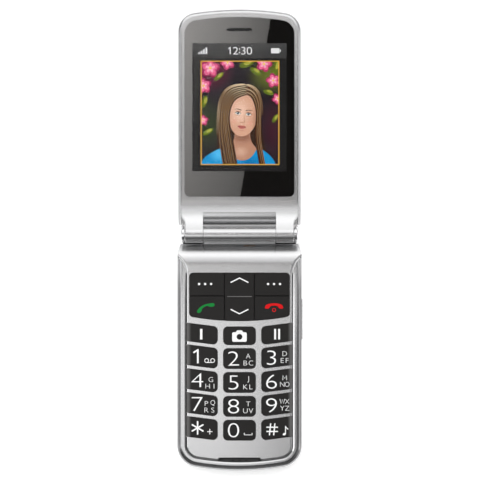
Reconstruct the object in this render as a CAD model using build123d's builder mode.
from build123d import *
import os
from math import cos, radians, sin, sqrt

# A clamshell mobile phone with large keys, opened flat and lying on its back, in millimetres.
# The hinge axis runs along X, the lid reaches towards +Y and the keys and display face +Z.
# Places along the phone are measured from the hinge axis: plus towards the lid, minus to the chin.

# Fits shared by all pieces
overrun = 30.0
running_clearance = 0.04
seat_clearance = 0.02
seat_play = 0.05
part_gap = 0.1

# Display, which sets the width and the length of the lid
display_width = 43.2
display_length = 57.6
display_border = 0.8
display_air_gap = 0.2
display_body_thickness = 1.3
display_body_side_margin = 2.1
display_body_top_margin = 2.2
display_body_bottom_margin = 4.0

# Display window
window_side_border = 3.25
window_top_border = 11.85
window_bottom_border = 11.65
window_top_radius = 130.0
window_top_corner_radius = 6.3
window_bottom_corner_radius = 2.7
window_thickness = 1.0
window_recess = 0.25
window_gap = 0.12
window_ledge = 1.1

# Lid shells
bezel_width = 2.95
tip_bezel = 3.6
tip_radius = 135.0
tip_corner_radius = 8.6
lid_end_taper = 1.4
lid_taper_length = 10.9
lid_edge_radius = 1.8
lid_back_radius = 2.2
lid_wall = 1.4
lid_floor_thickness = 1.2
lid_sweep_length = 16.0
lid_sweep_rise = 2.6
closed_gap = 0.5

# Hinge
barrel_radius = 3.9
ear_length = 8.15
ear_end_margin = 1.8
ear_edge_radius = 0.5
ear_neck_angle = 60.0
ear_flare_length = 5.0
ramp_length = 15.5
ramp_inset = 1.4
ramp_window_gap = 1.2
notch_ramp_gap = 5.5
notch_drop = 2.5
knuckle_side_gap = 0.2
knuckle_wall = 0.98
cap_gap = 0.2
cap_edge_radius = 0.8
cap_spigot_length = 0.8
barrel_clearance = 0.35
base_end_gap = 0.5
cartridge_length = 15.0
cartridge_wall = 0.9
cartridge_end_wall = 1.0
shaft_flat_depth = 0.5
shaft_engagement = 13.0
sleeve_wall = 0.38
sleeve_engagement = 4.0
sleeve_ear_length = 1.9

# Base shells
base_side_margin = 0.2
base_end_taper = 1.6
base_taper_length = 10.3
chin_length = 13.85
chin_radius = 115.0
chin_corner_radius = 9.9
base_split_height = 4.4
trim_edge_radius = 2.5
trim_wall = 1.5
trim_flange_thickness = 1.6
panel_inset = 3.95
panel_drop = 0.3
panel_thickness = 1.1
panel_edge_radius = 1.1
rim_slope_width = 0.7
rim_slope_depth = 0.25
shoulder_length = 14.5
flare_margin = 3.0
shoulder_drop = 3.59
shoulder_wall = 1.0
skirt_wall = 1.0
rear_wall = 1.8
rear_edge_radius = 2.4
rear_floor_thickness = 0.8
lip_thickness = 1.0
lip_height = 0.6
base_sweep_length = 16.0
base_sweep_rise = 2.8

# Keys
key_proud = 0.2
key_clearance = 0.15
key_flange = 0.5
key_flange_thickness = 0.35
key_flange_play = 0.05
key_travel = 0.3
key_edge_radius = 0.25
key_corner_radius = 2.0
key_row_gap = 1.65
key_column_gap = 2.65
center_key_width = 14.5
side_key_rise = 1.8
digit_key_height = 9.1
memory_key_height = 8.1
digit_rows = (("1", "2", "3"), ("4", "5", "6"), ("7", "8", "9"), ("star", "0", "hash"))

# Menu key cluster
nav_shoulder_gap = 2.9
nav_side_gap = 1.5
nav_upper_length = 10.4
nav_lower_length = 9.1
nav_bulge = 2.1
nav_row_gap = 2.65
nav_corner_radius = 1.8
nav_rocker_width = 13.4
nav_key_gap = 0.3
rocker_base_thickness = 1.5
rocker_pivot_radius = 0.4
rocker_ridge_length = 10.8
rocker_ridge_width = 0.7
rocker_ridge_height = 0.12

# Key mat, contact domes and main board
mat_thickness = 0.45
mat_foot_width = 1.0
mat_key_margin = 1.85
film_thickness = 0.1
dome_radius = 2.0
dome_top_radius = 1.0
dome_height = 0.2
dome_gap = 0.05
board_thickness = 0.8
board_hinge_gap = 0.9
board_chin_gap = 6.0
board_corner_radius = 2.0
board_connector_depth = 3.0

# Battery, its bay and its cover
battery_thickness = 4.6
battery_side_margin = 10.0
battery_edge_radius = 1.0
chin_bay_length = 26.6
bay_wall = 0.8
bay_roof_thickness = 0.8
cover_thickness = 1.1
cover_side_margin = 2.2
cover_rail_width = 0.5
cover_rail_height = 0.35
cover_rail_rise = 0.45
cover_rail_chin_gap = 12.6
grip_length = 16.0
grip_width = 0.8
grip_gap = 1.0
grip_depth = 0.3
grip_count = 5
grip_inset = 11.0

# Screws
screw_head_radius = 1.4
screw_head_height = 1.0
screw_shank_radius = 0.8
screw_drive_width = 0.5
screw_drive_depth = 0.5
base_screw_length = 6.6
boss_radius = 2.2
upper_screw_side_margin = 5.9
upper_screw_inset = 2.5
lower_screw_side_margin = 13.0
lower_screw_chin_gap = 9.2
boss_room = 1.0

# Loudspeaker behind slots in the back
speaker_width = 15.0
speaker_length = 8.6
speaker_thickness = 2.7
speaker_corner_radius = 2.0
speaker_front_gap = 0.4
speaker_cover_gap = 0.5
speaker_bay_gap = 5.5
speaker_slot_length = 10.0
speaker_slot_width = 0.9
speaker_slot_gap = 0.8
speaker_slot_count = 4

# Charging socket on the left side
socket_distance = 62.0
socket_width = 7.6
socket_height = 2.5
socket_depth = 5.6
socket_wall = 0.3
socket_corner_radius = 0.7
socket_tongue_width = 4.6
socket_tongue_thickness = 0.6
socket_mouth_gap = 0.3
socket_setback = 0.6

# Volume rocker on the right side
volume_distance = 38.2
volume_length = 18.5
volume_height = 2.4
volume_rise = 2.5
volume_proud = 0.45
volume_clearance = 0.25
volume_flange_length = 6.0
volume_flange_height = 3.4
volume_flange_thickness = 0.7
volume_edge_radius = 0.35
volume_window_radius = 0.8

# Small pieces inside the base
microphone_radius = 1.7
microphone_height = 0.9
microphone_chin_gap = 7.8
grille_top_width = 16.4
grille_bottom_width = 19.4
grille_length = 1.6
grille_drop = 0.4
grille_hole_radius = 0.4
grille_hole_gap = 2.2
grille_hole_count = 3
sim_width = 26.0
sim_length = 15.0
sim_thickness = 0.7
sim_inset = 16.0
sim_corner_radius = 1.0
contact_width = 8.0
contact_length = 3.0
contact_height = 3.4
contact_blade_width = 1.2
contact_blade_gap = 1.2
contact_blade_count = 3
can_length = 10.0
can_height = 1.5
can_wall = 0.2
can_side_gap = 4.0
can_chin_gap = 10.4
motor_radius = 2.0
motor_length = 8.0
motor_side_margin = 7.5
motor_chin_gap = 12.6
motor_shaft_radius = 0.4
weight_radius = 1.8
weight_length = 3.2
weight_gap = 0.6
antenna_depth = 3.6
antenna_thickness = 0.2
antenna_height = 3.0
antenna_side_gap = 4.0
antenna_leg_width = 1.6
antenna_leg_inset = 4.0
antenna_chin_gap = 5.4

# Ribbon cable through the hinge
ribbon_thickness = 0.25
ribbon_width = 5.0
ribbon_slot = 0.7
ribbon_slot_margin = 0.4
ribbon_board_gap = 1.3
ribbon_lid_board_gap = 0.65
ribbon_lid_length = 6.3
ear_ribbon_drop = 2.6
roll_gap = 0.2
roll_wall = 0.25
roll_start = 2.0
roll_joint_gap = 0.15
roll_leave_angle = 45.0

# Earpiece at the tip
earpiece_inset = 5.7
earpiece_slot_length = 11.4
earpiece_slot_width = 1.3
earpiece_width = 15.0
earpiece_length = 6.0
earpiece_height = 2.3
earpiece_corner_radius = 1.5

# Lid board and what it carries
lid_board_thickness = 0.6
lid_board_side_margin = 3.8
lid_board_hinge_gap = 1.8
lid_board_tip_gap = 5.4
lid_rib_thickness = 1.0
lid_rib_inset = 4.0
lower_lid_rib_gap = 9.0
upper_lid_rib_tip_gap = 25.4
magnet_width = 5.0
magnet_length = 2.5
magnet_height = 1.1
magnet_gap = 1.0
magnet_tip_gap = 8.4
lower_lid_screw_inset = 4.45
lower_lid_screw_gap = 3.9
upper_lid_screw_side_margin = 7.8
upper_lid_screw_tip_gap = 8.8
lid_screw_length = 3.4
lid_screw_head_height = 0.6

# Camera on the back of the lid
camera_window_gap = 16.3
camera_size = 8.0
camera_height = 2.4
camera_corner_radius = 0.8
camera_barrel_radius = 2.7
camera_barrel_height = 0.35
camera_window_radius = 4.0
camera_window_thickness = 0.7
camera_window_recess = 0.1
camera_ledge = 0.9
camera_ring_width = 1.5
camera_ring_proud = 0.35
camera_ring_depth = 0.5

# Widths that follow from the display
window_width = display_width + 2 * window_side_border
lid_width = window_width + 2 * bezel_width
lid_end_width = lid_width - 2 * lid_end_taper
base_width = lid_width + 2 * base_side_margin
base_end_width = base_width - 2 * base_end_taper
base_half = base_width / 2
base_end_half = base_end_width / 2
lid_half = lid_width / 2
lid_end_half = lid_end_width / 2
window_half = window_width / 2
cap_outer = lid_end_half - part_gap
ear_outer = lid_end_half - ear_end_margin
ear_inner = ear_outer - ear_length
knuckle_length = 2 * (ear_inner - knuckle_side_gap)
panel_half = base_half - panel_inset
inner_half = panel_half - skirt_wall - part_gap
side_key_inner = center_key_width / 2 + key_column_gap
nav_half = panel_half - nav_side_gap
nav_width = 2 * nav_half
battery_width = base_width - 2 * battery_side_margin
cover_width = base_width - 2 * cover_side_margin
upper_screw_offset = base_end_half - upper_screw_side_margin
lower_screw_offset = base_half - lower_screw_side_margin
can_width = 2 * (lower_screw_offset - can_side_gap)
antenna_width = 2 * (lower_screw_offset - antenna_side_gap)
antenna_leg_offset = antenna_width / 2 - antenna_leg_inset
motor_offset = base_half - motor_side_margin
display_body_width = display_width + 2 * display_body_side_margin
lid_board_width = lid_width - 2 * lid_board_side_margin
lid_rib_length = lid_board_width - 2 * lid_rib_inset
lower_lid_screw_offset = ear_inner - lower_lid_screw_inset
upper_lid_screw_offset = lid_half - upper_lid_screw_side_margin
magnet_offset = (earpiece_width + magnet_width) / 2 + magnet_gap

# Distances from the hinge axis along the lid
lid_end = barrel_radius + barrel_clearance
window_bottom_reach = ramp_length + ramp_window_gap
display_reach = window_bottom_reach + window_bottom_border + display_length / 2
window_top_reach = display_reach + display_length / 2 + window_top_border
lid_reach = window_top_reach + tip_bezel
tip_sag = tip_radius - sqrt(tip_radius**2 - lid_half**2)
window_sag = window_top_radius - sqrt(window_top_radius**2 - window_half**2)
notch_reach = ramp_length - notch_ramp_gap
earpiece_reach = window_top_reach - earpiece_inset
magnet_reach = lid_reach - magnet_tip_gap
lid_board_bottom_reach = window_bottom_reach + lid_board_hinge_gap
lid_board_top_reach = lid_reach - lid_board_tip_gap
lower_lid_screw_reach = window_bottom_reach + lower_lid_screw_gap
upper_lid_screw_reach = lid_reach - upper_lid_screw_tip_gap
lid_ribbon_reach = window_bottom_reach + ribbon_lid_length
camera_reach = window_bottom_reach + camera_window_gap
lower_lid_rib_reach = camera_reach + lower_lid_rib_gap
upper_lid_rib_reach = lid_reach - upper_lid_rib_tip_gap

# Distances from the hinge axis along the base
base_end = barrel_radius + base_end_gap
nav_top_reach = shoulder_length + nav_shoulder_gap
nav_seam_reach = nav_top_reach + nav_upper_length
nav_corner_reach = nav_seam_reach + nav_lower_length
nav_bottom_reach = nav_corner_reach + nav_bulge
memory_row_reach = nav_bottom_reach + nav_row_gap + memory_key_height / 2
digit_row_step = digit_key_height + key_row_gap
digit_row_reach = memory_row_reach + (memory_key_height + digit_key_height) / 2 + key_row_gap
keys_end_reach = digit_row_reach + (len(digit_rows) - 1) * digit_row_step + digit_key_height / 2
base_reach = keys_end_reach + chin_length
chin_sag = chin_radius - sqrt(chin_radius**2 - base_half**2)
front_cavity_reach = shoulder_length + shoulder_wall
flare_reach = shoulder_length + flare_margin
upper_screw_reach = front_cavity_reach - upper_screw_inset
lower_screw_reach = base_reach - lower_screw_chin_gap
rear_cavity_reach = upper_screw_reach - boss_room
board_hinge_reach = front_cavity_reach + board_hinge_gap
board_chin_reach = base_reach - board_chin_gap
mat_chin_reach = keys_end_reach + mat_key_margin
speaker_reach = front_cavity_reach + speaker_front_gap + speaker_length / 2
speaker_end_reach = speaker_reach + speaker_length / 2
cover_reach = speaker_end_reach + speaker_cover_gap
cover_rail_chin_reach = base_reach - cover_rail_chin_gap
grip_reach = cover_reach + grip_inset
battery_reach = speaker_end_reach + speaker_bay_gap
battery_length = base_reach - battery_reach - chin_bay_length
sim_reach = battery_reach + sim_inset
can_reach = base_reach - can_chin_gap - can_length / 2
motor_reach = base_reach - motor_chin_gap - motor_length / 2
antenna_reach = base_reach - antenna_chin_gap
microphone_reach = base_reach - microphone_chin_gap

# Levels in the base, from the back up
floor_level = cover_thickness + part_gap
floor_top = floor_level + rear_floor_thickness
battery_bottom = cover_thickness + part_gap
bay_roof = battery_bottom + battery_thickness + part_gap
board_bottom = bay_roof + bay_roof_thickness
board_top = board_bottom + board_thickness
film_top = board_top + film_thickness
mat_bottom = film_top + dome_height + dome_gap
mat_top = mat_bottom + mat_thickness
flange_bottom = mat_top + key_travel + seat_play
flange_top = flange_bottom + key_flange_thickness
panel_bottom = flange_top + key_flange_play
panel_top = panel_bottom + panel_thickness
base_thickness = panel_top + panel_drop
key_top = panel_top + key_proud
skirt_cut_level = flange_bottom - key_travel / 2
rocker_bottom = key_top - rocker_base_thickness
rocker_pivot_level = mat_top + key_flange_play + rocker_pivot_radius
volume_level = base_split_height + volume_rise

# Levels in the lid, from the front down
window_top = base_thickness - window_recess
window_bottom = window_top - window_thickness
ledge_bottom = window_bottom - window_ledge
display_top = window_bottom - display_air_gap
display_body_top = ledge_bottom - seat_play
lid_board_top = display_body_top - display_body_thickness
lid_board_bottom = lid_board_top - lid_board_thickness
lid_floor_top = lid_board_bottom - camera_height - part_gap
lid_back = lid_floor_top - lid_floor_thickness

# The hinge axis, and the levels that hang from it
hinge_y = (base_reach - lid_reach) / 2
hinge_z = base_thickness + closed_gap / 2
front_level = -closed_gap / 2
lid_split = hinge_z - barrel_radius
hinge_bore_radius = barrel_radius - knuckle_wall
shaft_radius = hinge_bore_radius - seat_clearance - cartridge_wall
shaft_flat_height = shaft_radius - shaft_flat_depth
base_ribbon_drop = hinge_z - board_bottom + ribbon_board_gap
lid_ribbon_drop = hinge_z - lid_board_top - ribbon_lid_board_gap


def level(height):
    """Plan plane at a height, with its origin above the hinge axis."""
    return Plane(origin=(0, hinge_y, height))


def across(offset_x=0.0):
    """Side plane through the hinge axis: local x to the lid, local y up, normal along +X."""
    return Plane(origin=(offset_x, hinge_y, hinge_z), x_dir=(0, 1, 0), z_dir=(1, 0, 0))


def save(piece, name):
    """Label a finished piece and write it as its own file."""
    piece.part.label = name
    export_step(piece.part, f"parts/{name}.step")


os.makedirs("parts", exist_ok=True)

# Outlines of the base: the whole plan, the front cover with its flared shoulder, the cover of the bay
chin_corner = (base_half, chin_sag - base_reach)
chin_corner_left = (-base_half, chin_sag - base_reach)

with BuildSketch() as base_plan:
    with BuildLine():
        ThreePointArc(chin_corner_left, (0, -base_reach), chin_corner)
        for side in (-1, 1):
            Line((side * base_half, chin_sag - base_reach), (side * base_half, -base_taper_length))
            TangentArc(
                (side * base_half, -base_taper_length), (side * base_end_half, -base_end), tangent=(0, 1)
            )
        Line((-base_end_half, -base_end), (base_end_half, -base_end))
    make_face()
    fillet(base_plan.vertices().group_by(Axis.Y)[0], chin_corner_radius)

with BuildSketch() as front_plan:
    add(base_plan.sketch)
    offset(amount=-panel_inset)
    with BuildLine():
        for side in (-1, 1):
            TangentArc(
                (side * panel_half, -flare_reach), (side * base_half, -base_taper_length), tangent=(0, 1)
            )
            Line((side * base_half, -base_taper_length), (side * base_half, 0))
        Line((-base_half, 0), (base_half, 0))
        Line((-panel_half, -flare_reach), (panel_half, -flare_reach))
    make_face()
    add(base_plan.sketch, mode=Mode.INTERSECT)

# Outlines of the keys, by name, and of the flanges that hold them under the panel
with BuildSketch() as nav_plan:
    with BuildLine():
        ThreePointArc(
            (-nav_half, -nav_corner_reach), (0, -nav_bottom_reach), (nav_half, -nav_corner_reach)
        )
        Polyline(
            (nav_half, -nav_corner_reach),
            (nav_half, -nav_top_reach),
            (-nav_half, -nav_top_reach),
            (-nav_half, -nav_corner_reach),
        )
    make_face()
    fillet(nav_plan.vertices(), nav_corner_radius)

with BuildSketch() as nav_flange_plan:
    add(nav_plan.sketch)
    offset(amount=key_flange)
    with Locations((0, -base_reach / 2)):
        Rectangle(2 * inner_half, 2 * base_reach, mode=Mode.INTERSECT)


def nav_cell(plan, side, upper):
    """The part of a plan that lies in one corner of the menu cluster."""
    inner = (nav_rocker_width + nav_key_gap) / 2
    seam = nav_key_gap / 2 - nav_seam_reach if upper else -nav_key_gap / 2 - nav_seam_reach
    x_align = Align.MIN if side > 0 else Align.MAX
    y_align = Align.MIN if upper else Align.MAX
    with BuildSketch() as cell:
        add(plan.sketch)
        with Locations((side * inner, seam)):
            Rectangle(nav_width, nav_width, align=(x_align, y_align), mode=Mode.INTERSECT)
    return cell.sketch


def center_key(row, height):
    """Rounded key on the centre line."""
    with BuildSketch() as plan:
        with Locations((0, -row)):
            RectangleRounded(center_key_width, height, key_corner_radius)
    return plan.sketch


def side_key(side, row, height):
    """Slanted key that runs out to the edge of the panel."""
    inner = side * side_key_inner
    outer = side * panel_half
    with BuildSketch() as plan:
        with BuildLine():
            Polyline(
                (inner, height / 2 - row),
                (outer, height / 2 - row + side_key_rise),
                (outer, side_key_rise - height / 2 - row),
                (inner, -height / 2 - row),
                close=True,
            )
        make_face()
        inner_corners = plan.vertices().sort_by(lambda vertex: abs(vertex.X))[:2]
        fillet(inner_corners, key_corner_radius)
    return plan.sketch


def key_flange_plan(plan):
    """Flange round a key, kept inside the skirt of the front cover."""
    with BuildSketch() as flange:
        add(plan)
        offset(amount=key_flange)
        with Locations((0, -base_reach / 2)):
            Rectangle(2 * inner_half, 2 * base_reach, mode=Mode.INTERSECT)
    return flange.sketch


nav_key_plans = {
    "soft_key_left": nav_cell(nav_plan, -1, True),
    "soft_key_right": nav_cell(nav_plan, 1, True),
    "call_key": nav_cell(nav_plan, -1, False),
    "end_key": nav_cell(nav_plan, 1, False),
}
flange_plans = {
    "soft_key_left": nav_cell(nav_flange_plan, -1, True),
    "soft_key_right": nav_cell(nav_flange_plan, 1, True),
    "call_key": nav_cell(nav_flange_plan, -1, False),
    "end_key": nav_cell(nav_flange_plan, 1, False),
}
side_key_plans = {
    "memory_key_1": side_key(-1, memory_row_reach, memory_key_height),
    "memory_key_2": side_key(1, memory_row_reach, memory_key_height),
}
center_key_plans = {"camera_key": center_key(memory_row_reach, memory_key_height)}
for row_index, (left_name, center_name, right_name) in enumerate(digit_rows):
    row_reach = digit_row_reach + row_index * digit_row_step
    side_key_plans[f"key_{left_name}"] = side_key(-1, row_reach, digit_key_height)
    center_key_plans[f"key_{center_name}"] = center_key(row_reach, digit_key_height)
    side_key_plans[f"key_{right_name}"] = side_key(1, row_reach, digit_key_height)
single_key_plans = side_key_plans | center_key_plans
key_plans = nav_key_plans | single_key_plans
for name, plan in single_key_plans.items():
    flange_plans[name] = key_flange_plan(plan)


def grille_plan(inset):
    """Outline of the microphone grille, past the lower edge of the panel, drawn in by a gap."""
    upper = panel_inset + grille_length - base_reach - inset
    lower = panel_inset - base_reach - rim_slope_width
    with BuildSketch() as plan:
        with BuildLine():
            Polyline(
                (grille_top_width / 2 - inset, upper),
                (grille_bottom_width / 2 - inset, lower),
                (inset - grille_bottom_width / 2, lower),
                (inset - grille_top_width / 2, upper),
                close=True,
            )
        make_face()
    return plan.sketch


# Screw places, measured from the hinge axis
upper_screws = [(side * upper_screw_offset, -upper_screw_reach) for side in (-1, 1)]
lower_screws = [(side * lower_screw_offset, -lower_screw_reach) for side in (-1, 1)]
screw_tip = floor_level + screw_head_height + base_screw_length
screw_hole_radius = screw_shank_radius + part_gap
head_hole_radius = screw_head_radius + part_gap

# Route of the ribbon cable in the base: off the roll, down through the web and under the board
roll_outer = hinge_bore_radius - running_clearance - sleeve_wall - roll_gap
roll_inner = roll_outer - roll_wall
roll_middle = (roll_outer + roll_inner) / 2
leave_turn = radians(roll_leave_angle)
ribbon_leave = (-roll_middle * cos(leave_turn), -roll_middle * sin(leave_turn))
base_ribbon_route = (
    ribbon_leave,
    (-base_end - ribbon_slot / 2, -base_ribbon_drop),
    (-board_hinge_reach - board_connector_depth, -base_ribbon_drop),
)
base_slot_route = base_ribbon_route[:2] + ((-front_cavity_reach - ribbon_slot, -base_ribbon_drop),)
shoulder_end_level = panel_top - hinge_z - shoulder_drop
base_split_level = base_split_height - hinge_z

# Front cover of the base: key panel, rolled shoulder and the middle knuckle of the hinge
with BuildPart() as base_front_cover:
    with BuildSketch(level(base_split_height)):
        add(front_plan.sketch)
    extrude(amount=panel_top - base_split_height)
    with BuildSketch(across()):
        with BuildLine():
            Polyline(
                (-base_end, shoulder_end_level),
                (-base_end, base_split_level),
                (-base_reach, base_split_level),
                (-base_reach, panel_top - hinge_z),
                (-shoulder_length, panel_top - hinge_z),
            )
            TangentArc(
                (-shoulder_length, panel_top - hinge_z), (-base_end, shoulder_end_level), tangent=(1, 0)
            )
        make_face()
    extrude(amount=base_half, both=True, mode=Mode.INTERSECT)
    panel_edges = base_front_cover.edges().group_by(Axis.Z)[-1].filter_by(Axis.X, reverse=True)
    fillet(panel_edges, panel_edge_radius)
    # Hollow below the panel, with a skirt round its edge
    with BuildSketch(level(base_split_height)):
        with Locations((0, -front_cavity_reach)):
            Rectangle(base_width, base_reach, align=(Align.CENTER, Align.MAX))
    extrude(amount=board_top - base_split_height, mode=Mode.SUBTRACT)
    with BuildSketch(level(board_top)):
        add(front_plan.sketch)
        offset(amount=-skirt_wall)
        with Locations((0, -front_cavity_reach)):
            Rectangle(base_width, base_reach, align=(Align.CENTER, Align.MAX), mode=Mode.INTERSECT)
    extrude(amount=panel_bottom - board_top, mode=Mode.SUBTRACT)
    # Knuckle and the web that carries it
    with BuildSketch(across()):
        Circle(barrel_radius)
        with BuildLine():
            Polyline(
                (-base_end, shoulder_end_level),
                (0, 0),
                (0, -barrel_radius),
                (-base_end, base_split_level),
                close=True,
            )
        make_face()
    extrude(amount=knuckle_length / 2, both=True)
    with BuildSketch(across()):
        Circle(hinge_bore_radius)
    extrude(amount=knuckle_length, both=True, mode=Mode.SUBTRACT)
    # Slot for the ribbon cable
    with BuildSketch(across(roll_start - ribbon_slot_margin / 2)):
        with BuildLine():
            Polyline(*base_slot_route)
        trace(line_width=ribbon_slot)
    extrude(amount=ribbon_width + ribbon_slot_margin, mode=Mode.SUBTRACT)
    # Key openings
    with BuildSketch(level(skirt_cut_level)):
        add(nav_plan.sketch)
        offset(amount=key_clearance)
    extrude(amount=overrun, mode=Mode.SUBTRACT)
    for plan in single_key_plans.values():
        with BuildSketch(level(skirt_cut_level)):
            add(plan)
            offset(amount=key_clearance)
        extrude(amount=overrun, mode=Mode.SUBTRACT)
    # Notch for the microphone grille at the lower edge of the panel
    with BuildSketch(level(skirt_cut_level)):
        add(grille_plan(0))
    extrude(amount=overrun, mode=Mode.SUBTRACT)
    # Bosses and pilot holes for the screws
    with BuildSketch(level(board_top)):
        with Locations(*lower_screws):
            Circle(boss_radius)
    extrude(amount=panel_bottom - board_top)
    with BuildSketch(level(base_split_height)):
        with Locations(*upper_screws, *lower_screws):
            Circle(screw_shank_radius + seat_clearance)
    extrude(amount=screw_tip + part_gap - base_split_height, mode=Mode.SUBTRACT)
save(base_front_cover, "base_front_cover")

# Side planes: the volume rocker on the right, the charging socket on the left
socket_level = board_bottom - socket_height / 2


def volume_plane(offset_x):
    """Plane across the volume rocker, with its normal along +X."""
    return Plane(
        origin=(offset_x, hinge_y - volume_distance, volume_level), x_dir=(0, 1, 0), z_dir=(1, 0, 0)
    )


def socket_plane(offset_x):
    """Plane across the charging socket, with its normal along -X."""
    return Plane(
        origin=(offset_x, hinge_y - socket_distance, socket_level), x_dir=(0, -1, 0), z_dir=(-1, 0, 0)
    )


with BuildSketch() as socket_mouth:
    RectangleRounded(
        socket_width + 2 * socket_mouth_gap, socket_height + 2 * socket_mouth_gap, socket_corner_radius
    )

# Trim band round the sides and chin of the base, with the bright rim
with BuildPart() as base_trim:
    with BuildSketch(level(base_split_height)):
        add(base_plan.sketch)
    extrude(amount=base_thickness - base_split_height)
    rim_edges = base_trim.edges().group_by(Axis.Z)[-1]
    fillet(rim_edges.filter_by(Axis.X, reverse=True), trim_edge_radius)
    # Opening for the front cover
    with BuildSketch(level(base_split_height)):
        add(front_plan.sketch)
        offset(amount=part_gap)
    extrude(amount=overrun, mode=Mode.SUBTRACT)
    # Slope from the rim down to the seam along the panel
    for height, reach in ((base_thickness - rim_slope_depth, part_gap), (base_thickness, rim_slope_width)):
        with BuildSketch(level(height)):
            add(front_plan.sketch)
            offset(amount=reach)
            with Locations((0, -flare_reach)):
                Rectangle(base_width, base_reach, align=(Align.CENTER, Align.MAX), mode=Mode.INTERSECT)
    loft(mode=Mode.SUBTRACT)
    with BuildSketch(level(base_split_height)):
        add(base_plan.sketch)
        offset(amount=-trim_wall)
    extrude(amount=base_thickness - trim_flange_thickness - base_split_height, mode=Mode.SUBTRACT)
    # Window for the volume rocker
    with BuildSketch(volume_plane(0)):
        RectangleRounded(
            volume_length + 2 * volume_clearance, volume_height + 2 * volume_clearance, volume_window_radius
        )
    extrude(amount=base_width, mode=Mode.SUBTRACT)
    # Mouth of the charging socket
    with BuildSketch(socket_plane(0)):
        add(socket_mouth.sketch)
    extrude(amount=base_width, mode=Mode.SUBTRACT)
save(base_trim, "base_trim")

# Form of the back of the base, shared by the rear cover and the battery cover
with BuildPart() as base_back:
    with BuildSketch(level(0)):
        add(base_plan.sketch)
    extrude(amount=base_split_height)
    with BuildSketch(across()):
        with BuildLine():
            Polyline(
                (-base_sweep_length, -hinge_z),
                (-base_reach, -hinge_z),
                (-base_reach, base_split_level),
                (-base_end, base_split_level),
                (-base_end, base_sweep_rise - hinge_z),
            )
            TangentArc(
                (-base_sweep_length, -hinge_z), (-base_end, base_sweep_rise - hinge_z), tangent=(1, 0)
            )
        make_face()
    extrude(amount=base_half, both=True, mode=Mode.INTERSECT)
    back_edges = base_back.edges().group_by(Axis.Z)[0].filter_by(Axis.X, reverse=True)
    fillet(back_edges, rear_edge_radius)

with BuildSketch() as lip_opening:
    add(base_plan.sketch)
    offset(amount=-trim_wall - part_gap - lip_thickness)

# Rear cover of the base: walls, battery bay, screw bosses and the channel of the battery cover
bay_center = (0, -battery_reach - battery_length / 2)
bay_width = battery_width + 2 * part_gap
bay_length = battery_length + 2 * part_gap
contact_end = -battery_reach - battery_length - 2 * part_gap
with BuildPart() as base_rear_cover:
    add(base_back.part)
    with BuildSketch(level(floor_top)):
        add(base_plan.sketch)
        offset(amount=-rear_wall)
        with Locations((0, -rear_cavity_reach)):
            Rectangle(base_width, base_reach, align=(Align.CENTER, Align.MAX), mode=Mode.INTERSECT)
        with Locations(bay_center):
            Rectangle(bay_width + 2 * bay_wall, bay_length + 2 * bay_wall, mode=Mode.SUBTRACT)
        with Locations(*upper_screws, *lower_screws):
            Circle(boss_radius, mode=Mode.SUBTRACT)
    extrude(amount=base_split_height - floor_top, mode=Mode.SUBTRACT)
    # The bay and the lower bosses rise to the board
    with BuildSketch(level(base_split_height)):
        with Locations(bay_center):
            Rectangle(bay_width + 2 * bay_wall, bay_length + 2 * bay_wall)
        with Locations(*lower_screws):
            Circle(boss_radius)
    extrude(amount=board_bottom - base_split_height)
    # Lip that locates the trim band
    with BuildSketch(level(base_split_height - lip_height)):
        add(base_plan.sketch)
        offset(amount=-trim_wall - part_gap)
        with Locations((0, -front_cavity_reach - part_gap)):
            Rectangle(base_width, base_reach, align=(Align.CENTER, Align.MAX), mode=Mode.INTERSECT)
        add(lip_opening.sketch, mode=Mode.SUBTRACT)
    extrude(amount=2 * lip_height)
    # Battery bay, card window and contact notch
    with BuildSketch(level(0)):
        with Locations(bay_center):
            Rectangle(bay_width, bay_length)
    extrude(amount=bay_roof, mode=Mode.SUBTRACT)
    with BuildSketch(level(bay_roof)):
        with Locations((0, -sim_reach)):
            Rectangle(sim_width + 2 * part_gap, sim_length + 2 * part_gap)
    extrude(amount=overrun, mode=Mode.SUBTRACT)
    with BuildSketch(level(board_bottom - contact_height - part_gap)):
        with Locations((0, -battery_reach - battery_length)):
            Rectangle(
                contact_width + 2 * part_gap, 2 * bay_wall, align=(Align.CENTER, Align.MAX)
            )
    extrude(amount=overrun, mode=Mode.SUBTRACT)
    # Channel and rail grooves of the battery cover, open at the chin
    with BuildSketch(level(0)):
        with Locations((0, part_gap - cover_reach)):
            Rectangle(cover_width + 2 * part_gap, base_reach, align=(Align.CENTER, Align.MAX))
    extrude(amount=floor_level, mode=Mode.SUBTRACT)
    with BuildSketch(level(cover_rail_rise - part_gap)):
        with Locations((0, part_gap - cover_reach)):
            Rectangle(
                cover_width + 2 * cover_rail_width + 2 * part_gap,
                base_reach,
                align=(Align.CENTER, Align.MAX),
            )
    extrude(amount=cover_rail_height + 2 * part_gap, mode=Mode.SUBTRACT)
    # Loudspeaker slots
    with BuildSketch(level(0)):
        with Locations((0, -speaker_reach)):
            with GridLocations(0, speaker_slot_width + speaker_slot_gap, 1, speaker_slot_count):
                SlotOverall(speaker_slot_length, speaker_slot_width)
    extrude(amount=floor_top, mode=Mode.SUBTRACT)
    # Screw holes with room for the heads
    with BuildSketch(level(0)):
        with Locations(*upper_screws, *lower_screws):
            Circle(head_hole_radius)
    extrude(amount=floor_level + screw_head_height, mode=Mode.SUBTRACT)
    with BuildSketch(level(0)):
        with Locations(*upper_screws, *lower_screws):
            Circle(screw_hole_radius)
    extrude(amount=overrun, mode=Mode.SUBTRACT)
    # Room for the charging socket
    with BuildSketch(socket_plane(-panel_half + socket_depth / 2)):
        add(socket_mouth.sketch)
    extrude(amount=base_width, mode=Mode.SUBTRACT)
save(base_rear_cover, "base_rear_cover")

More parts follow.
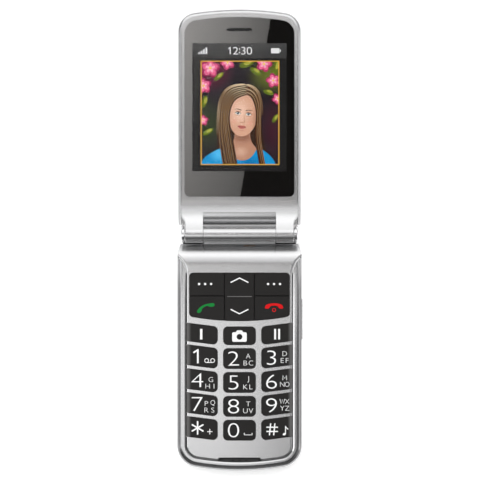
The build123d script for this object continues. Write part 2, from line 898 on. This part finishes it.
# Battery cover: slides towards the chin on two rails
with BuildPart() as battery_cover:
    add(base_back.part)
    with BuildSketch(level(0)):
        with Locations((0, -cover_reach)):
            Rectangle(cover_width, base_reach, align=(Align.CENTER, Align.MAX))
    extrude(amount=cover_thickness, mode=Mode.INTERSECT)
    with BuildSketch(level(cover_rail_rise)):
        with Locations((0, -cover_reach)):
            Rectangle(
                cover_width + 2 * cover_rail_width,
                cover_rail_chin_reach - cover_reach,
                align=(Align.CENTER, Align.MAX),
            )
    extrude(amount=cover_rail_height)
    with BuildSketch(level(0)):
        with Locations((0, -grip_reach)):
            with GridLocations(0, grip_width + grip_gap, 1, grip_count):
                SlotOverall(grip_length, grip_width)
    extrude(amount=grip_depth, mode=Mode.SUBTRACT)
save(battery_cover, "battery_cover")

# Battery with rounded long edges
with BuildPart() as battery:
    with BuildSketch(level(battery_bottom)):
        with Locations(bay_center):
            Rectangle(battery_width, battery_length)
    extrude(amount=battery_thickness)
    fillet(battery.edges().filter_by(Axis.Y), battery_edge_radius)
save(battery, "battery")

# Keys: a cap on a flange that the panel holds down
for name, plan in key_plans.items():
    with BuildPart() as key:
        with BuildSketch(level(flange_top)):
            add(plan)
        extrude(amount=key_top - flange_top)
        if name in side_key_plans:
            top_ends = key.edges().group_by(Axis.Z)[-1].filter_by(Axis.Y)
            fillet(top_ends.sort_by(lambda edge: abs(edge.center().X))[-1], panel_edge_radius)
        fillet(key.faces().sort_by(Axis.Z)[-1].edges(), key_edge_radius)
        with BuildSketch(level(flange_bottom)):
            add(flange_plans[name])
        extrude(amount=key_flange_thickness)
    save(key, name)

# Menu rocker: tips on a rib along its middle
with BuildPart() as nav_rocker:
    with BuildSketch(level(rocker_bottom)):
        add(nav_plan.sketch)
        with Locations((0, -nav_seam_reach)):
            Rectangle(nav_rocker_width - nav_key_gap, nav_width, mode=Mode.INTERSECT)
    extrude(amount=rocker_base_thickness)
    fillet(nav_rocker.faces().sort_by(Axis.Z)[-1].edges(), key_edge_radius)
    with BuildSketch(level(key_top)):
        with Locations((0, -nav_seam_reach)):
            SlotOverall(rocker_ridge_length, rocker_ridge_width)
    extrude(amount=rocker_ridge_height)
    rib_plane = Plane(
        origin=(0, hinge_y - nav_seam_reach, rocker_pivot_level), x_dir=(0, 1, 0), z_dir=(1, 0, 0)
    )
    with BuildSketch(rib_plane):
        Circle(rocker_pivot_radius)
        Rectangle(
            2 * rocker_pivot_radius,
            rocker_bottom - rocker_pivot_level,
            align=(Align.CENTER, Align.MIN),
        )
    extrude(amount=rocker_ridge_length / 2, both=True)
save(nav_rocker, "nav_rocker")

# Outline shared by the key mat and the film with the contact domes
with BuildSketch() as mat_plan:
    with Locations((0, -board_hinge_reach)):
        Rectangle(2 * inner_half, mat_chin_reach - board_hinge_reach, align=(Align.CENTER, Align.MAX))
    fillet(mat_plan.vertices(), board_corner_radius)

with BuildSketch() as mat_core:
    add(mat_plan.sketch)
    offset(amount=-mat_foot_width)

with BuildPart() as keypad_mat:
    with BuildSketch(level(mat_bottom)):
        add(mat_plan.sketch)
    extrude(amount=mat_thickness)
    with BuildSketch(level(film_top)):
        add(mat_plan.sketch)
        add(mat_core.sketch, mode=Mode.SUBTRACT)
    extrude(amount=mat_bottom - film_top)
save(keypad_mat, "keypad_mat")

# Film with a metal dome under each key and under each end of the rocker
rocker_dome_offset = (nav_bottom_reach - nav_top_reach) / 2 - 2 * dome_radius
key_centers = [plan.face().center() for plan in key_plans.values()]
dome_places = [(center.X, center.Y) for center in key_centers]
dome_places += [(0, side * rocker_dome_offset - nav_seam_reach) for side in (-1, 1)]
with BuildPart() as dome_sheet:
    with BuildSketch(level(board_top)):
        add(mat_plan.sketch)
    extrude(amount=film_thickness)
    with Locations(level(film_top)):
        with Locations(*dome_places):
            Cone(dome_radius, dome_top_radius, dome_height, align=(Align.CENTER, Align.CENTER, Align.MIN))
save(dome_sheet, "dome_sheet")

# Main board with the connector of the ribbon cable on its lower face
ribbon_level = hinge_z - base_ribbon_drop
connector_height = board_bottom - ribbon_level - ribbon_thickness / 2 - part_gap
with BuildPart() as main_board:
    with BuildSketch(level(board_bottom)) as board_sketch:
        with Locations((0, -board_hinge_reach)):
            Rectangle(
                2 * inner_half, board_chin_reach - board_hinge_reach, align=(Align.CENTER, Align.MAX)
            )
        fillet(board_sketch.vertices(), board_corner_radius)
        with Locations(*lower_screws):
            Circle(screw_hole_radius, mode=Mode.SUBTRACT)
    extrude(amount=board_thickness)
    with BuildSketch(level(board_bottom - connector_height)):
        with Locations((roll_start, -board_hinge_reach)):
            Rectangle(ribbon_width, board_connector_depth, align=(Align.MIN, Align.MAX))
    extrude(amount=connector_height)
save(main_board, "main_board")

# Shielding can under the board, open towards it
with BuildPart() as shield_can:
    with BuildSketch(level(board_bottom - can_height)):
        with Locations((0, -can_reach)):
            Rectangle(can_width, can_length)
    extrude(amount=can_height)
    offset(amount=-can_wall, openings=shield_can.faces().sort_by(Axis.Z)[-1])
save(shield_can, "shield_can")

# Battery contacts: a block under the board with three blades
with BuildPart() as battery_contacts:
    with BuildSketch(level(board_bottom - contact_height)):
        with Locations((0, contact_end)):
            Rectangle(contact_width, contact_length, align=(Align.CENTER, Align.MAX))
    extrude(amount=contact_height)
    with BuildSketch(level(board_bottom - contact_height)):
        with Locations((0, contact_end)):
            with GridLocations(contact_blade_width + contact_blade_gap, 0, contact_blade_count, 1):
                Rectangle(contact_blade_width, part_gap, align=(Align.CENTER, Align.MIN))
    extrude(amount=contact_height / 2)
save(battery_contacts, "battery_contacts")

# Card socket in the roof of the battery bay
with BuildPart() as sim_socket:
    with BuildSketch(level(board_bottom - sim_thickness)) as sim_sketch:
        with Locations((0, -sim_reach)):
            Rectangle(sim_width, sim_length)
        fillet(sim_sketch.vertices(), sim_corner_radius)
    extrude(amount=sim_thickness)
save(sim_socket, "sim_socket")

# Charging socket: a shell open to the left with a contact tongue
socket_face = socket_setback - base_half
with BuildPart() as usb_socket:
    with BuildSketch(socket_plane(socket_face + socket_depth)):
        RectangleRounded(socket_width, socket_height, socket_corner_radius)
    extrude(amount=socket_depth)
    with BuildSketch(socket_plane(socket_face + socket_depth - socket_wall)):
        RectangleRounded(
            socket_width - 2 * socket_wall,
            socket_height - 2 * socket_wall,
            socket_corner_radius - socket_wall,
        )
    extrude(amount=socket_depth, mode=Mode.SUBTRACT)
    with BuildSketch(socket_plane(socket_face + socket_depth - socket_wall)):
        Rectangle(socket_tongue_width, socket_tongue_thickness)
    extrude(amount=socket_depth - 2 * socket_wall)
save(usb_socket, "usb_socket")

# Volume rocker: its face stands proud of the side, its flange bears behind the wall
volume_inner = base_half - trim_wall - part_gap
with BuildPart() as volume_rocker:
    with BuildSketch(volume_plane(volume_inner)):
        RectangleRounded(volume_length, volume_height, volume_window_radius)
    extrude(amount=base_half + volume_proud - volume_inner)
    fillet(volume_rocker.faces().sort_by(Axis.X)[-1].edges(), volume_edge_radius)
    with BuildSketch(volume_plane(volume_inner)):
        Rectangle(volume_flange_length, volume_flange_height)
    extrude(amount=-volume_flange_thickness)
save(volume_rocker, "volume_rocker")

# Microphone on the board and its slotted grille at the edge of the panel
with BuildPart() as microphone:
    with BuildSketch(level(board_top)):
        with Locations((0, -microphone_reach)):
            Circle(microphone_radius)
    extrude(amount=microphone_height)
save(microphone, "microphone")

with BuildPart() as microphone_grille:
    with BuildSketch(level(skirt_cut_level)):
        add(grille_plan(part_gap))
        add(front_plan.sketch, mode=Mode.INTERSECT)
        with Locations((0, panel_inset - base_reach + grille_length / 2)):
            with GridLocations(2 * grille_hole_radius + grille_hole_gap, 0, grille_hole_count, 1):
                Circle(grille_hole_radius, mode=Mode.SUBTRACT)
    extrude(amount=panel_top - grille_drop - skirt_cut_level)
save(microphone_grille, "microphone_grille")

# Loudspeaker on the floor of the rear cover
with BuildPart() as loudspeaker:
    with BuildSketch(level(floor_top)):
        with Locations((0, -speaker_reach)):
            RectangleRounded(speaker_width, speaker_length, speaker_corner_radius)
    extrude(amount=speaker_thickness)
save(loudspeaker, "loudspeaker")

# Vibration motor, and its shaft with the eccentric weight
motor_level = floor_top + motor_radius + seat_play
motor_end = motor_length / 2 - motor_reach


def motor_plane(reach):
    """Plane across the vibration motor, with its normal along +Y."""
    return Plane(origin=(motor_offset, hinge_y + reach, motor_level), x_dir=(-1, 0, 0), z_dir=(0, 1, 0))


with BuildPart() as vibration_motor:
    with BuildSketch(motor_plane(motor_end - motor_length)):
        Circle(motor_radius)
    extrude(amount=motor_length)
    with BuildSketch(motor_plane(motor_end - weight_gap)):
        Circle(motor_shaft_radius + running_clearance)
    extrude(amount=weight_gap, mode=Mode.SUBTRACT)
save(vibration_motor, "vibration_motor")

with BuildPart() as vibrator_weight:
    with BuildSketch(motor_plane(motor_end - weight_gap + running_clearance)):
        Circle(motor_shaft_radius)
    extrude(amount=2 * weight_gap + weight_length - running_clearance)
    with BuildSketch(motor_plane(motor_end + weight_gap)):
        Circle(weight_radius)
        with Locations((0, motor_shaft_radius)):
            Rectangle(
                2 * weight_radius, weight_radius, align=(Align.CENTER, Align.MIN), mode=Mode.SUBTRACT
            )
    extrude(amount=weight_length)
save(vibrator_weight, "vibrator_weight")

# Antenna: a bent strip in the chin with a leg up to the board
antenna_edge = -antenna_reach - antenna_depth / 2
with BuildPart() as antenna:
    with BuildSketch(level(floor_top)):
        with Locations((0, -antenna_reach)):
            Rectangle(antenna_width, antenna_depth)
    extrude(amount=antenna_thickness)
    with BuildSketch(level(floor_top)):
        with Locations((0, antenna_edge)):
            Rectangle(antenna_width, antenna_thickness, align=(Align.CENTER, Align.MIN))
    extrude(amount=antenna_height)
    with BuildSketch(level(floor_top)):
        with Locations((antenna_leg_offset, antenna_edge + antenna_depth)):
            Rectangle(antenna_leg_width, antenna_thickness, align=(Align.CENTER, Align.MAX))
    extrude(amount=board_bottom - floor_top)
save(antenna, "antenna")

# Screws of the base: heads down, shanks up into the front cover
with BuildPart() as base_screws:
    with BuildSketch(level(floor_level)):
        with Locations(*upper_screws, *lower_screws):
            Circle(screw_head_radius)
    extrude(amount=screw_head_height)
    with BuildSketch(level(floor_level + screw_head_height)):
        with Locations(*upper_screws, *lower_screws):
            Circle(screw_shank_radius)
    extrude(amount=base_screw_length)
    with BuildSketch(level(floor_level)):
        with Locations(*upper_screws, *lower_screws):
            Rectangle(screw_head_radius, screw_drive_width)
            Rectangle(screw_drive_width, screw_head_radius)
    extrude(amount=screw_drive_depth, mode=Mode.SUBTRACT)
save(base_screws, "base_screws")

# Outline of the lid, whole and without the strip that the hinge takes
with BuildSketch() as lid_plan:
    with BuildLine():
        ThreePointArc((-lid_half, lid_reach - tip_sag), (0, lid_reach), (lid_half, lid_reach - tip_sag))
        for side in (-1, 1):
            Line((side * lid_half, lid_reach - tip_sag), (side * lid_half, lid_taper_length))
            TangentArc(
                (side * lid_half, lid_taper_length), (side * lid_end_half, -barrel_radius), tangent=(0, -1)
            )
        Line((-lid_end_half, -barrel_radius), (lid_end_half, -barrel_radius))
    make_face()
    fillet(lid_plan.vertices().group_by(Axis.Y)[-1], tip_corner_radius)

with BuildSketch() as lid_body_plan:
    add(lid_plan.sketch)
    with Locations((0, lid_end)):
        Rectangle(lid_width, lid_reach, align=(Align.CENTER, Align.MIN), mode=Mode.INTERSECT)

with BuildSketch() as lid_inside_plan:
    add(lid_plan.sketch)
    offset(amount=-lid_wall)

# Outline of the display window
with BuildSketch() as window_plan:
    with BuildLine():
        ThreePointArc(
            (-window_half, window_top_reach - window_sag),
            (0, window_top_reach),
            (window_half, window_top_reach - window_sag),
        )
        Polyline(
            (window_half, window_top_reach - window_sag),
            (window_half, window_bottom_reach),
            (-window_half, window_bottom_reach),
            (-window_half, window_top_reach - window_sag),
        )
    make_face()
    fillet(window_plan.vertices().group_by(Axis.Y)[-1], window_top_corner_radius)
    fillet(window_plan.vertices().group_by(Axis.Y)[0], window_bottom_corner_radius)

# Places in the lid
lower_lid_screws = [(side * lower_lid_screw_offset, lower_lid_screw_reach) for side in (-1, 1)]
upper_lid_screws = [(side * upper_lid_screw_offset, upper_lid_screw_reach) for side in (-1, 1)]
lid_screw_places = lower_lid_screws + upper_lid_screws
display_opening_width = display_width + 2 * display_border + 2 * part_gap
display_opening_length = display_length + 2 * display_border + 2 * part_gap
display_body_bottom = display_reach - display_length / 2 - display_body_bottom_margin
display_body_length = display_length + display_body_bottom_margin + display_body_top_margin
roll_end = ear_inner + sleeve_ear_length
lid_roll_start = roll_end + roll_joint_gap
lid_ribbon_route = (
    (-ribbon_leave[0], ribbon_leave[1]),
    (lid_end, -ear_ribbon_drop),
    (window_bottom_reach, -lid_ribbon_drop),
    (lid_ribbon_reach, -lid_ribbon_drop),
)

# Hinge ears of the lid: barrels that run out into a hollow ramp
ramp_radius = (ramp_length**2 / (barrel_radius - front_level) - barrel_radius - front_level) / 2
touch_share = barrel_radius / (barrel_radius + ramp_radius)
ramp_touch = (ramp_length * touch_share, (ramp_radius + front_level) * touch_share)
neck_turn = radians(ear_neck_angle)
neck_point = (barrel_radius * cos(neck_turn), -barrel_radius * sin(neck_turn))
ramp_half = lid_half - ramp_inset
flare_middle = (ear_outer + ramp_half) / 2
ear_flare_end = lid_end + ear_flare_length
ear_flare_middle = lid_end + ear_flare_length / 2
with BuildPart() as ears:
    with BuildSketch(level(lid_split)):
        with BuildLine():
            for side in (-1, 1):
                Line((side * ear_outer, -barrel_radius), (side * ear_outer, lid_end))
                flare_turn = (side * flare_middle, ear_flare_middle)
                TangentArc((side * ear_outer, lid_end), flare_turn, tangent=(0, 1))
                TangentArc((side * ramp_half, ear_flare_end), flare_turn, tangent=(0, -1))
                Line((side * ramp_half, ear_flare_end), (side * ramp_half, ramp_length))
            Line((-ear_outer, -barrel_radius), (ear_outer, -barrel_radius))
            Line((-ramp_half, ramp_length), (ramp_half, ramp_length))
        make_face()
    extrude(amount=2 * barrel_radius)
    with BuildSketch(across()):
        with BuildLine():
            TangentArc((ramp_length, front_level), ramp_touch, tangent=(-1, 0))
            ThreePointArc(ramp_touch, (-barrel_radius, 0), neck_point)
            Polyline(neck_point, (ramp_length, neck_point[1]), (ramp_length, front_level))
        make_face()
    extrude(amount=lid_half, both=True, mode=Mode.INTERSECT)
    end_edges = ears.edges().filter_by(GeomType.LINE, reverse=True)
    fillet(end_edges.filter_by(lambda edge: abs(edge.center().Z) > lid_split), ear_edge_radius)

# Front frame of the lid: bezel, display opening and the ears
notch_rise = ramp_radius - sqrt(ramp_radius**2 - (ramp_length - notch_reach) ** 2)
notch_start = (notch_reach, front_level + notch_rise)
with BuildPart() as lid_front_frame:
    with BuildSketch(level(lid_split)):
        add(lid_body_plan.sketch)
    extrude(amount=base_thickness - lid_split)
    bezel_edges = lid_front_frame.edges().group_by(Axis.Z)[-1].filter_by(Axis.X, reverse=True)
    fillet(bezel_edges, lid_edge_radius)
    add(ears.part)
    # Hollow between the ears that clears the knuckle
    with BuildSketch(across()):
        with BuildLine():
            TangentArc(notch_start, (lid_end, -notch_drop), tangent=(-1, 0))
            Polyline(
                (lid_end, -notch_drop),
                (lid_end, -2 * barrel_radius),
                (-2 * barrel_radius, -2 * barrel_radius),
                (-2 * barrel_radius, 2 * barrel_radius),
                (notch_reach, 2 * barrel_radius),
                notch_start,
            )
        make_face()
    extrude(amount=ear_inner, both=True, mode=Mode.SUBTRACT)
    # Bores: keyed on the left, round on the right
    with BuildSketch(across()):
        Circle(shaft_radius + seat_clearance)
        with Locations((0, shaft_flat_height + seat_clearance)):
            Rectangle(
                2 * barrel_radius, barrel_radius, align=(Align.CENTER, Align.MIN), mode=Mode.SUBTRACT
            )
    extrude(amount=-lid_half, mode=Mode.SUBTRACT)
    with BuildSketch(across()):
        Circle(hinge_bore_radius - running_clearance + seat_clearance)
    extrude(amount=lid_half, mode=Mode.SUBTRACT)
    # Slot for the ribbon cable
    with BuildSketch(across(lid_roll_start - ribbon_slot_margin / 2)):
        with BuildLine():
            Polyline(*lid_ribbon_route)
        trace(line_width=ribbon_slot)
    extrude(amount=ribbon_width + ribbon_slot_margin, mode=Mode.SUBTRACT)
    # Seat of the window, hollow behind its ledge, and openings through the ledge
    with BuildSketch(level(window_bottom)):
        add(window_plan.sketch)
        offset(amount=window_gap)
    extrude(amount=overrun, mode=Mode.SUBTRACT)
    with BuildSketch(level(lid_split)):
        add(lid_inside_plan.sketch)
        with Locations((0, window_bottom_reach)):
            Rectangle(lid_width, lid_reach, align=(Align.CENTER, Align.MIN), mode=Mode.INTERSECT)
    extrude(amount=ledge_bottom - lid_split, mode=Mode.SUBTRACT)
    with BuildSketch(level(ledge_bottom)):
        with Locations((0, display_reach)):
            Rectangle(display_opening_width, display_opening_length)
        with Locations((0, earpiece_reach)):
            RectangleRounded(
                earpiece_width + 2 * part_gap, earpiece_length + 2 * part_gap, earpiece_corner_radius
            )
        with Locations(*lid_screw_places):
            Circle(screw_hole_radius)
    extrude(amount=overrun, mode=Mode.SUBTRACT)
    with BuildSketch(level(window_bottom - lid_screw_head_height - part_gap)):
        with Locations(*lid_screw_places):
            Circle(head_hole_radius)
    extrude(amount=overrun, mode=Mode.SUBTRACT)
save(lid_front_frame, "lid_front_frame")

# Rear cover of the lid, swept up towards the hinge, with the camera opening
lid_back_level = lid_back - hinge_z
sweep_end = (lid_end, lid_back_level + lid_sweep_rise)
camera_place = (0, camera_reach)
ring_outer = camera_window_radius + camera_ring_width
with BuildPart() as lid_rear_cover:
    with BuildSketch(level(lid_back)):
        add(lid_body_plan.sketch)
    extrude(amount=lid_split - lid_back)
    with BuildSketch(across()):
        with BuildLine():
            TangentArc((lid_sweep_length, lid_back_level), sweep_end, tangent=(-1, 0))
            Polyline(
                sweep_end,
                (lid_end, -barrel_radius),
                (lid_reach, -barrel_radius),
                (lid_reach, lid_back_level),
                (lid_sweep_length, lid_back_level),
            )
        make_face()
    extrude(amount=lid_half, both=True, mode=Mode.INTERSECT)
    lid_back_edges = lid_rear_cover.edges().group_by(Axis.Z)[0].filter_by(Axis.X, reverse=True)
    fillet(lid_back_edges, lid_back_radius)
    with BuildSketch(level(lid_floor_top)):
        add(lid_inside_plan.sketch)
        with Locations((0, lid_sweep_length)):
            Rectangle(lid_width, lid_reach, align=(Align.CENTER, Align.MIN), mode=Mode.INTERSECT)
    extrude(amount=lid_split - lid_floor_top, mode=Mode.SUBTRACT)
    # Bosses for the screws, ribs under the board
    with BuildSketch(level(lid_floor_top)):
        with Locations(*lid_screw_places):
            Circle(boss_radius)
    extrude(amount=ledge_bottom - lid_floor_top)
    with BuildSketch(level(ledge_bottom - lid_screw_length)):
        with Locations(*lid_screw_places):
            Circle(screw_shank_radius + seat_clearance)
    extrude(amount=overrun, mode=Mode.SUBTRACT)
    with BuildSketch(level(lid_floor_top)):
        with Locations((0, lower_lid_rib_reach), (0, upper_lid_rib_reach)):
            Rectangle(lid_rib_length, lid_rib_thickness)
    extrude(amount=lid_board_bottom - lid_floor_top)
    # Camera opening with a ledge for the window and a seat for the ring
    with BuildSketch(level(lid_back)):
        with Locations(camera_place):
            Circle(camera_window_radius - camera_ledge)
    extrude(amount=overrun, mode=Mode.SUBTRACT)
    with BuildSketch(level(lid_back)):
        with Locations(camera_place):
            Circle(camera_window_radius + seat_clearance)
    extrude(amount=camera_window_recess + camera_window_thickness, mode=Mode.SUBTRACT)
    with BuildSketch(level(lid_back)):
        with Locations(camera_place):
            Circle(ring_outer + seat_clearance)
    extrude(amount=camera_ring_depth, mode=Mode.SUBTRACT)
save(lid_rear_cover, "lid_rear_cover")

# Window over the display, with the slot of the earpiece
with BuildPart() as display_window:
    with BuildSketch(level(window_bottom)):
        add(window_plan.sketch)
        with Locations((0, earpiece_reach)):
            SlotOverall(earpiece_slot_length, earpiece_slot_width, mode=Mode.SUBTRACT)
    extrude(amount=window_thickness)
save(display_window, "display_window")

# Display: a framed body with the raised picture area
with BuildPart() as display_panel:
    with BuildSketch(level(lid_board_top)):
        with Locations((0, display_body_bottom)):
            Rectangle(display_body_width, display_body_length, align=(Align.CENTER, Align.MIN))
    extrude(amount=display_body_thickness)
    with BuildSketch(level(display_body_top)):
        with Locations((0, display_reach)):
            Rectangle(display_width + 2 * display_border, display_length + 2 * display_border)
    extrude(amount=display_top - display_body_top)
save(display_panel, "display_panel")

# Lid board with holes for the bosses and the connector of the ribbon cable
lid_ribbon_level = hinge_z - lid_ribbon_drop
lid_connector_height = lid_ribbon_level - ribbon_thickness / 2 - part_gap - lid_board_top
with BuildPart() as lid_board:
    with BuildSketch(level(lid_board_bottom)) as lid_board_sketch:
        with Locations((0, lid_board_bottom_reach)):
            Rectangle(
                lid_board_width,
                lid_board_top_reach - lid_board_bottom_reach,
                align=(Align.CENTER, Align.MIN),
            )
        fillet(lid_board_sketch.vertices(), board_corner_radius)
        with Locations(*lid_screw_places):
            Circle(boss_radius + part_gap, mode=Mode.SUBTRACT)
    extrude(amount=lid_board_thickness)
    with BuildSketch(level(lid_board_top)):
        with Locations((lid_roll_start, lid_ribbon_reach)):
            Rectangle(ribbon_width, board_connector_depth, align=(Align.MIN, Align.MAX))
    extrude(amount=lid_connector_height)
save(lid_board, "lid_board")

# Earpiece under the slot of the window
with BuildPart() as earpiece:
    with BuildSketch(level(lid_board_top)):
        with Locations((0, earpiece_reach)):
            RectangleRounded(earpiece_width, earpiece_length, earpiece_corner_radius)
    extrude(amount=earpiece_height)
save(earpiece, "earpiece")

# Magnet for the switch that senses the closed lid
with BuildPart() as lid_magnet:
    with BuildSketch(level(lid_board_top)):
        with Locations((-magnet_offset, magnet_reach)):
            Rectangle(magnet_width, magnet_length)
    extrude(amount=magnet_height)
save(lid_magnet, "lid_magnet")

# Screws of the lid, under the window
with BuildPart() as lid_screws:
    with BuildSketch(level(window_bottom - part_gap)):
        with Locations(*lid_screw_places):
            Circle(screw_head_radius)
    extrude(amount=-lid_screw_head_height)
    with BuildSketch(level(window_bottom - part_gap - lid_screw_head_height)):
        with Locations(*lid_screw_places):
            Circle(screw_shank_radius)
    extrude(amount=-lid_screw_length)
save(lid_screws, "lid_screws")

# Camera: module on the board, window and ring in the back of the lid
with BuildPart() as camera_module:
    with BuildSketch(level(lid_floor_top + part_gap)):
        with Locations(camera_place):
            RectangleRounded(camera_size, camera_size, camera_corner_radius)
    extrude(amount=camera_height)
    with BuildSketch(level(lid_floor_top + part_gap)):
        with Locations(camera_place):
            Circle(camera_barrel_radius)
    extrude(amount=-camera_barrel_height)
save(camera_module, "camera_module")

with BuildPart() as camera_window:
    with BuildSketch(level(lid_back + camera_window_recess)):
        with Locations(camera_place):
            Circle(camera_window_radius)
    extrude(amount=camera_window_thickness)
save(camera_window, "camera_window")

with BuildPart() as camera_ring:
    with BuildSketch(level(lid_back - camera_ring_proud)):
        with Locations(camera_place):
            Circle(ring_outer)
            Circle(camera_window_radius + seat_clearance, mode=Mode.SUBTRACT)
    extrude(amount=camera_ring_proud + camera_ring_depth)
    fillet(camera_ring.edges().group_by(Axis.Z)[0], camera_ring_proud / 2)
save(camera_ring, "camera_ring")

# Hinge cartridge in the knuckle, and the keyed shaft that turns in it
cartridge_start = -knuckle_length / 2
with BuildPart() as hinge_cartridge:
    with BuildSketch(across(cartridge_start)):
        Circle(hinge_bore_radius - seat_clearance)
    extrude(amount=cartridge_length)
    with BuildSketch(across(cartridge_start)):
        Circle(shaft_radius + running_clearance)
    extrude(amount=cartridge_length - cartridge_end_wall, mode=Mode.SUBTRACT)
save(hinge_cartridge, "hinge_cartridge")

shaft_start = cap_spigot_length + part_gap - ear_outer
with BuildPart() as hinge_shaft:
    with BuildSketch(across(shaft_start)):
        Circle(shaft_radius)
    extrude(amount=cartridge_start + shaft_engagement - shaft_start)
    with BuildSketch(across(shaft_start)):
        with Locations((0, shaft_flat_height)):
            Rectangle(2 * shaft_radius, shaft_radius, align=(Align.CENTER, Align.MIN))
    extrude(amount=-ear_inner - shaft_start, mode=Mode.SUBTRACT)
save(hinge_shaft, "hinge_shaft")

# Hollow sleeve on the right, which the ribbon cable passes through
sleeve_outer = hinge_bore_radius - running_clearance
sleeve_start = knuckle_length / 2 - sleeve_engagement
with BuildPart() as hinge_sleeve:
    with BuildSketch(across(sleeve_start)):
        Circle(sleeve_outer)
        Circle(sleeve_outer - sleeve_wall, mode=Mode.SUBTRACT)
    extrude(amount=roll_end - sleeve_start)
save(hinge_sleeve, "hinge_sleeve")

# Caps on the outer ends of the ears
cap_radius = barrel_radius - part_gap
with BuildPart() as hinge_caps:
    with BuildSketch(across(ear_outer + cap_gap)):
        Circle(cap_radius)
        with Locations((0, front_level)):
            Rectangle(lid_end - part_gap, cap_radius + front_level, align=(Align.MIN, Align.MAX))
    extrude(amount=cap_outer - ear_outer - cap_gap)
    with BuildSketch(level(lid_split)):
        add(lid_plan.sketch)
    extrude(amount=2 * barrel_radius, mode=Mode.INTERSECT)
    fillet(hinge_caps.faces().sort_by(Axis.X)[-1].edges(), cap_edge_radius)
    mirror(about=Plane.YZ)
    with BuildSketch(across(ear_outer + cap_gap)):
        Circle(sleeve_outer)
    extrude(amount=-cap_gap - cap_spigot_length)
    with BuildSketch(across(-ear_outer - cap_gap)):
        Circle(shaft_flat_height)
    extrude(amount=cap_gap + cap_spigot_length)
save(hinge_caps, "hinge_caps")

# Ribbon cable: the roll and tail in the base, and the tail in the lid
with BuildPart() as ribbon_base:
    with BuildSketch(across(roll_start)):
        Circle(roll_outer)
        Circle(roll_inner, mode=Mode.SUBTRACT)
    extrude(amount=roll_end - roll_start)
    with BuildSketch(across(roll_start)):
        with BuildLine():
            Polyline(*base_ribbon_route)
        trace(line_width=ribbon_thickness)
    extrude(amount=ribbon_width)
save(ribbon_base, "ribbon_base")

with BuildPart() as ribbon_lid:
    with BuildSketch(across(lid_roll_start)):
        Circle(roll_outer)
        Circle(roll_inner, mode=Mode.SUBTRACT)
    extrude(amount=ribbon_width)
    with BuildSketch(across(lid_roll_start)):
        with BuildLine():
            Polyline(*lid_ribbon_route)
        trace(line_width=ribbon_thickness)
    extrude(amount=ribbon_width)
save(ribbon_lid, "ribbon_lid")
